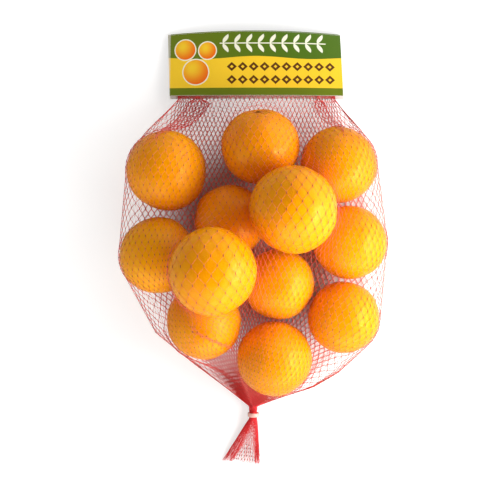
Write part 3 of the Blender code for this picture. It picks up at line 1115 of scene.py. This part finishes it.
class NETBAG_OT_oranges(bpy.types.Operator):
    """Add the twelve oranges, each with its own shape and peel"""
    bl_idname = "netbag.oranges"
    bl_label = "Oranges"

    def execute(self, context):
        settings = context.scene.netbag_oranges
        groups = peel_groups()
        hollows = clouds("broad hollows", HOLLOW_SPACING), clouds("peel relief", RELIEF_SPACING, 2)
        for row, spot in zip(FLOOR_FRUITS + TOP_FRUITS, settle_fruits()):
            name, x, y, diameter, stem, flatness, ripeness = row
            orange = model_orange("orange_" + name, spot[:3], spot[3], stem, flatness, settings, hollows)
            orange.data.materials.append(peel_material("peel_" + name, ripeness, settings, groups))
            finish_piece(orange, "net_bag")
        return {"FINISHED"}


class NETBAG_OT_net(bpy.types.Operator):
    """Add the knitted net, from its edge in the header to the end of its tail"""
    bl_idname = "netbag.net"
    bl_label = "Net"

    def execute(self, context):
        settings = context.scene.netbag_net
        radius = settings.thread_radius
        fruits = settle_fruits()
        skin = whole_skin(fruits)
        normals = skin_normals(skin)
        body_start, body_end = TUCK_ROWS, TUCK_ROWS + BODY_ROWS

        rows, columns = thread_layout(len(skin))
        rows, curl = rough_ends(rows)
        taken_in, lift = fold_net(skin, rows, columns)
        outward = sample_skin(normals, rows, taken_in)
        paths = sample_skin(skin, rows, taken_in)
        push_out(paths[:, 2 * body_start : 2 * body_end], fruits, radius)
        paths += outward * lift[..., None]
        gathered = how_gathered(skin, rows, taken_in, lift)
        paths[:, :, 0] += curl
        upper = columns[:, 0] % CELLS_ROUND <= CELLS_ROUND / 2
        # The underside gets thicker threads, and as painted light a paler colour, most where it lies
        # lowest by the floor
        doubled = np.clip(1 - paths[:, :, 2] / DOUBLED_HEIGHT, DOUBLED_AT_SIDES, 1)
        doubled[upper] = 0
        doubled[:, 2 * body_end :] = 0
        thickness = radius * (1 + FOLD_SWELL * lift / FOLD_LIFT)
        thickness += (settings.doubled_radius - radius) * doubled
        paths[:, :, 2] = np.maximum(paths[:, :, 2], thickness)
        thread = thread_material(settings)
        parts = {
            "net_upper": (upper, slice(0, 2 * body_end)),
            "net_lower": (~upper, slice(0, 2 * body_end)),
            "net_tail": (slice(None), slice(2 * body_end - 1, None)),
        }
        for name, part in parts.items():
            marks = {"gathered": gathered[part], "doubled": doubled[part]}
            item = thread_tubes(name, paths[part], outward[part], thickness[part], marks)
            item.data.materials.append(thread)
            finish_piece(item, "net_bag")

        rows, columns = knot_layout(len(skin))
        taken_in, lift = fold_net(skin, rows, columns)
        centres = sample_skin(skin, rows, taken_in)
        outward = sample_skin(normals, rows, taken_in)
        push_out(centres[body_start:body_end], fruits, radius)
        centres += outward * lift[..., None]
        room = np.linalg.norm(np.roll(centres, -1, axis=1) - centres, axis=2) > KNOT_ROOM
        ahead = sample_skin(skin, rows + KNOT_LENGTH, taken_in)
        behind = sample_skin(skin, rows - KNOT_LENGTH, taken_in)
        length = np.linalg.norm(ahead - behind, axis=2, keepdims=True) / 2
        under = (columns % CELLS_ROUND > CELLS_ROUND / 2)[..., None]
        knot_radius = settings.knot_radius * np.where(under, UNDERSIDE_KNOTS, 1.0)
        centres[:, :, 2] = np.maximum(centres[:, :, 2], knot_radius[..., 0])
        knots = knot_beads("net_knots", centres[room], unit(ahead - behind)[room], outward[room],
                           knot_radius[room], length[room])
        knots.data.materials.append(knot_material(settings))
        finish_piece(knots, "net_bag")
        return {"FINISHED"}


class NETBAG_OT_header(bpy.types.Operator):
    """Add the folded card that closes the bag's top end"""
    bl_idname = "netbag.header"
    bl_label = "Header card"

    def execute(self, context):
        settings = context.scene.netbag_header
        card = model_card(settings)
        card.data.materials.append(print_material(settings))
        card.data.materials.append(board_material(settings))
        apply_modifier(card, "SOLIDIFY", "card", thickness=PAPER_THICKNESS, offset=0,
                       material_offset=1, material_offset_rim=1)
        select_only(card)
        bpy.ops.object.shade_smooth_by_angle(angle=math.radians(40))
        finish_piece(card, "header_card")
        return {"FINISHED"}


class NETBAG_OT_clip(bpy.types.Operator):
    """Add the crimped strip that gathers the net's neck"""
    bl_idname = "netbag.clip"
    bl_label = "Neck clip"

    def execute(self, context):
        settings = context.scene.netbag_clip
        clip = model_clip(settings)
        clip.data.materials.append(clip_material(settings))
        finish_piece(clip, "neck_clip")
        return {"FINISHED"}


class NETBAG_OT_stage(bpy.types.Operator):
    """Add the pale floor, the soft lights and the camera"""
    bl_idname = "netbag.stage"
    bl_label = "Stage"

    def execute(self, context):
        settings = context.scene.netbag_stage
        bpy.ops.mesh.primitive_plane_add(size=FLOOR_SIZE)
        floor = context.object
        floor.name = "floor"
        floor.data.materials.append(floor_material(settings))
        add_key_light(settings.key_power)
        add_world(settings)
        add_camera(settings.camera_height)
        context.scene.view_settings.view_transform = "Standard"
        return {"FINISHED"}


def add_key_light(power):
    """A small soft light on the right that faces the bag."""
    bpy.ops.object.light_add(type="AREA", location=KEY_PLACE)
    item = bpy.context.object
    item.name = item.data.name = "key"
    item.data.shape = "RECTANGLE"
    item.data.size, item.data.size_y = KEY_SIZE
    item.data.energy = power
    item.rotation_euler = (Vector(KEY_TARGET) - Vector(KEY_PLACE)).to_track_quat("-Z", "Y").to_euler()
    item.visible_camera = False


def add_world(settings):
    """Pale surroundings: a bright low band, brightest at the lower right, and dim straight above."""
    world = bpy.data.worlds.new("studio")
    world.use_nodes = True
    nodes = Nodes(world.node_tree)
    way = nodes.add("ShaderNodeTexCoord").outputs["Generated"]
    axes = nodes.add("ShaderNodeSeparateXYZ", {"Vector": way}).outputs
    band = nodes.ramp(axes["Z"], BAND_TOP, BAND_FULL)
    towards_x, towards_y = BAND_TOWARDS
    slant = nodes.math("MULTIPLY_ADD", axes["X"], towards_x, nodes.times(axes["Y"], towards_y))
    slant = nodes.math("MULTIPLY_ADD", slant, settings.band_slant, 1.0)
    strength = nodes.times(nodes.times(band, slant), settings.band_strength)
    nodes.into(world.node_tree.nodes["Background"], Color=(1, 1, 1),
               Strength=nodes.math("ADD", strength, settings.zenith_strength))
    bpy.context.scene.world = world


def add_camera(height):
    """The camera straight above the bag, with the header at the top of the picture."""
    bpy.ops.object.camera_add(location=(*CAMERA_PLACE, height), rotation=(0, 0, 0))
    camera = bpy.context.object
    camera.name = "camera"
    camera.data.sensor_width = SENSOR_WIDTH
    camera.data.lens = LENS
    bpy.context.scene.camera = camera


class NETBAG_PT_panel(bpy.types.Panel):
    """The bag's settings and its pieces, in the 3D view's sidebar"""
    bl_idname = "NETBAG_PT_panel"
    bl_label = "Net of Oranges"
    bl_space_type = "VIEW_3D"
    bl_region_type = "UI"
    bl_category = "Net of Oranges"

    def draw(self, context):
        for operator, name, group in PIECES:
            box = self.layout.box()
            box.operator(operator.bl_idname)
            for key in group.__annotations__:
                box.prop(getattr(context.scene, name), key)


PIECES = (
    (NETBAG_OT_oranges, "netbag_oranges", OrangeSettings),
    (NETBAG_OT_net, "netbag_net", NetSettings),
    (NETBAG_OT_header, "netbag_header", HeaderSettings),
    (NETBAG_OT_clip, "netbag_clip", ClipSettings),
    (NETBAG_OT_stage, "netbag_stage", StageSettings),
)


def register():
    for operator, name, group in PIECES:
        bpy.utils.register_class(group)
        setattr(bpy.types.Scene, name, bpy.props.PointerProperty(type=group))
        bpy.utils.register_class(operator)
    bpy.utils.register_class(NETBAG_PT_panel)


def unregister():
    bpy.utils.unregister_class(NETBAG_PT_panel)
    for operator, name, group in reversed(PIECES):
        bpy.utils.unregister_class(operator)
        delattr(bpy.types.Scene, name)
        bpy.utils.unregister_class(group)


def main():
    register()
    for operator, *settings in PIECES:
        bpy.ops.object.select_all(action="DESELECT")
        area, name = operator.bl_idname.split(".")
        getattr(getattr(bpy.ops, area), name)()


if __name__ == "__main__":
    main()
